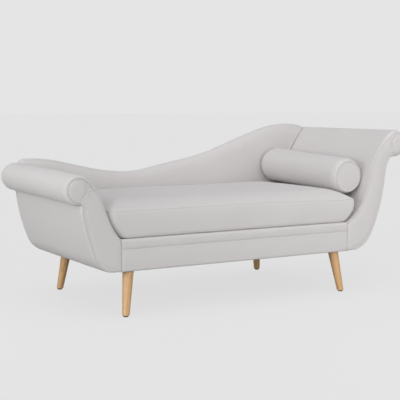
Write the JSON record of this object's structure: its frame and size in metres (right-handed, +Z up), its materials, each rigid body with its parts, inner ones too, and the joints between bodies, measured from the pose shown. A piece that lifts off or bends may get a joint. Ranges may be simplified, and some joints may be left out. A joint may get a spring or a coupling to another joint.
{
  "type": "chaise longue",
  "caption": "Upholstered chaise longue with a low and a high scrolled arm, a wavy back, a loose box cushion, a bolster and splayed turned legs.",
  "frame": {"origin": "on the floor, under the middle of the overall length and depth", "axes": "+X along the seat from the low arm to the high arm, +Y towards the back, +Z up"},
  "size_m": [1.668, 0.704, 0.723],
  "materials": {
    "plywood": "raw birch plywood",
    "frame_timber": "raw sawn softwood",
    "foam": "open-cell upholstery foam",
    "cloth_low_arm_inside": "plain woven linen-look upholstery cloth, matt",
    "cloth_low_arm_outside": "plain woven linen-look upholstery cloth, matt",
    "cloth_low_arm_front": "plain woven linen-look upholstery cloth, matt",
    "cloth_piping": "plain woven linen-look upholstery cloth, matt",
    "cloth_high_arm_inside": "plain woven linen-look upholstery cloth, matt",
    "cloth_high_arm_outside": "plain woven linen-look upholstery cloth, matt",
    "cloth_high_arm_front": "plain woven linen-look upholstery cloth, matt",
    "webbing": "elastic upholstery webbing",
    "deck_felt": "felt deck pad in lining cloth",
    "cloth_front_rail": "plain woven linen-look upholstery cloth, matt",
    "glide": "moulded glide",
    "zinc_steel": "zinc plated",
    "leg_wood": "turned pale oak, satin lacquer",
    "dust_cloth": "non-woven dust cloth",
    "cloth_back": "plain woven linen-look upholstery cloth, matt",
    "cloth_back_outside": "plain woven linen-look upholstery cloth, matt",
    "cloth_cushion_top": "plain woven linen-look upholstery cloth, matt",
    "cloth_cushion_boxing": "plain woven linen-look upholstery cloth, matt",
    "cloth_cushion_bottom": "plain woven linen-look upholstery cloth, matt",
    "fibre_filling": "polyester fibre",
    "cloth_bolster": "plain woven linen-look upholstery cloth, matt",
    "cloth_bolster_caps": "plain woven linen-look upholstery cloth, matt"
  },
  "bodies": {
    "frame": {"low_arm_ribs": "plywood", "low_arm_stretchers": "frame_timber", "low_arm_inside_foam": "foam", "low_arm_inside_cover": "cloth_low_arm_inside", "low_arm_outside_pad": "foam", "low_arm_outside_cover": "cloth_low_arm_outside", "low_arm_front_pad": "foam", "low_arm_front_cover": "cloth_low_arm_front", "low_arm_front_piping": "cloth_piping", "high_arm_ribs": "plywood", "high_arm_stretchers": "frame_timber", "high_arm_inside_foam": "foam", "high_arm_inside_cover": "cloth_high_arm_inside", "high_arm_outside_pad": "foam", "high_arm_outside_cover": "cloth_high_arm_outside", "high_arm_front_pad": "foam", "high_arm_front_cover": "cloth_high_arm_front", "high_arm_front_piping": "cloth_piping", "seat_front_rail": "frame_timber", "seat_rear_rail": "frame_timber", "seat_end_rails": "frame_timber", "seat_cross_rails": "frame_timber", "seat_cross_webbing": "webbing", "seat_long_webbing": "webbing", "seat_deck_pad": "deck_felt", "front_rail_cover": "cloth_front_rail", "front_rail_padding": "foam", "leg_glides": "glide", "leg_hanger_bolts": "zinc_steel", "leg_insert_nuts": "zinc_steel", "leg_corner_blocks": "frame_timber", "leg_low_front": "leg_wood", "leg_low_rear": "leg_wood", "leg_high_front": "leg_wood", "leg_high_rear": "leg_wood", "dust_cover": "dust_cloth", "back_posts": "plywood", "back_top_rail": "plywood", "back_foam": "foam", "back_inside_cover": "cloth_back", "outside_back_cover": "cloth_back_outside"},
    "seat_cushion": {"cushion_foam": "foam", "cushion_top_cover": "cloth_cushion_top", "cushion_boxing": "cloth_cushion_boxing", "cushion_bottom_cover": "cloth_cushion_bottom"},
    "bolster": {"bolster_filling": "fibre_filling", "bolster_sleeve": "cloth_bolster", "bolster_end_caps": "cloth_bolster_caps", "bolster_piping": "cloth_piping"}
  },
  "joints": [
    {"name": "cushion_lift", "type": "slide", "parent": "frame", "child": "seat_cushion", "axis": [0, 0, 1], "range_m": [0, 0.4]},
    {"name": "bolster_lift", "type": "slide", "parent": "seat_cushion", "child": "bolster", "axis": [0, 0, 1], "range_m": [0, 0.3]}
  ]
}
